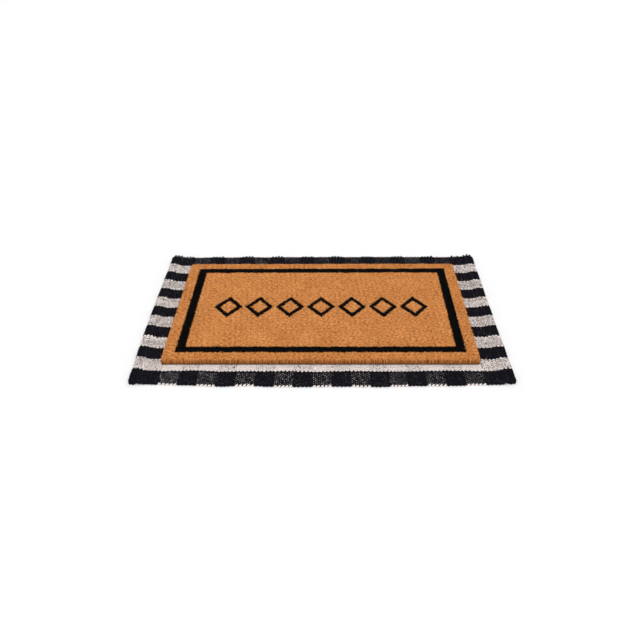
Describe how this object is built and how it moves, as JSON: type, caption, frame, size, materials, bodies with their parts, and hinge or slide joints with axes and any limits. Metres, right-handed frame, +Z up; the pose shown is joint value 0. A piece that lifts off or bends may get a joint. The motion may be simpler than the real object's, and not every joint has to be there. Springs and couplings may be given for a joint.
{
  "type": "door mat",
  "caption": "Layered door mat: a stiff coir mat with a printed frame and a row of open lozenges, laid loose on a wider hemmed cotton rug in a woven check.",
  "frame": {"origin": "on the floor, under the middle of the rug", "axes": "+X along the rug's long side, +Y from its front edge to its back edge, +Z up out of the coir pile"},
  "size_m": [0.906, 0.6098, 0.0208],
  "materials": {
    "cotton_black": "matt black cotton yarn, warp-faced plain weave",
    "cotton_cream": "matt cream cotton yarn, warp-faced plain weave",
    "sewing_thread": "dark polyester sewing thread with a faint sheen",
    "vinyl_backing": "matt cast vinyl, brown",
    "coir_natural": "undyed cut coir pile, coarse and matt",
    "coir_black": "black-printed cut coir pile, coarse and matt"
  },
  "bodies": {
    "rug": {"warp_stripe_01_black": "cotton_black", "warp_stripe_02_cream": "cotton_cream", "warp_stripe_03_black": "cotton_black", "warp_stripe_04_cream": "cotton_cream", "warp_stripe_05_black": "cotton_black", "warp_stripe_06_cream": "cotton_cream", "warp_stripe_07_black": "cotton_black", "warp_stripe_08_cream": "cotton_cream", "warp_stripe_09_black": "cotton_black", "warp_stripe_10_cream": "cotton_cream", "warp_stripe_11_black": "cotton_black", "warp_stripe_12_cream": "cotton_cream", "warp_stripe_13_black": "cotton_black", "weft_column_01_black": "cotton_black", "weft_column_02_cream": "cotton_cream", "weft_column_03_black": "cotton_black", "weft_column_04_cream": "cotton_cream", "weft_column_05_black": "cotton_black", "weft_column_06_cream": "cotton_cream", "weft_column_07_black": "cotton_black", "weft_column_08_cream": "cotton_cream", "weft_column_09_black": "cotton_black", "weft_column_10_cream": "cotton_cream", "weft_column_11_black": "cotton_black", "weft_column_12_cream": "cotton_cream", "weft_column_13_black": "cotton_black", "weft_column_14_cream": "cotton_cream", "weft_column_15_black": "cotton_black", "weft_column_16_cream": "cotton_cream", "weft_column_17_black": "cotton_black", "weft_column_18_cream": "cotton_cream", "weft_column_19_black": "cotton_black", "left_hem_thread": "sewing_thread", "right_hem_thread": "sewing_thread"},
    "coir_mat": {"vinyl_backing": "vinyl_backing", "coir_border": "coir_natural", "coir_frame_black": "coir_black", "coir_field": "coir_natural", "lozenge_black_01": "coir_black", "lozenge_black_02": "coir_black", "lozenge_black_03": "coir_black", "lozenge_black_04": "coir_black", "lozenge_black_05": "coir_black", "lozenge_black_06": "coir_black", "lozenge_black_07": "coir_black", "lozenge_centre_01": "coir_natural", "lozenge_centre_02": "coir_natural", "lozenge_centre_03": "coir_natural", "lozenge_centre_04": "coir_natural", "lozenge_centre_05": "coir_natural", "lozenge_centre_06": "coir_natural", "lozenge_centre_07": "coir_natural"}
  },
  "joints": [
    {"name": "mat_lift", "type": "slide", "parent": "rug", "child": "coir_mat", "axis": [0, 0, 1], "range_m": [0, 0.12]}
  ]
}
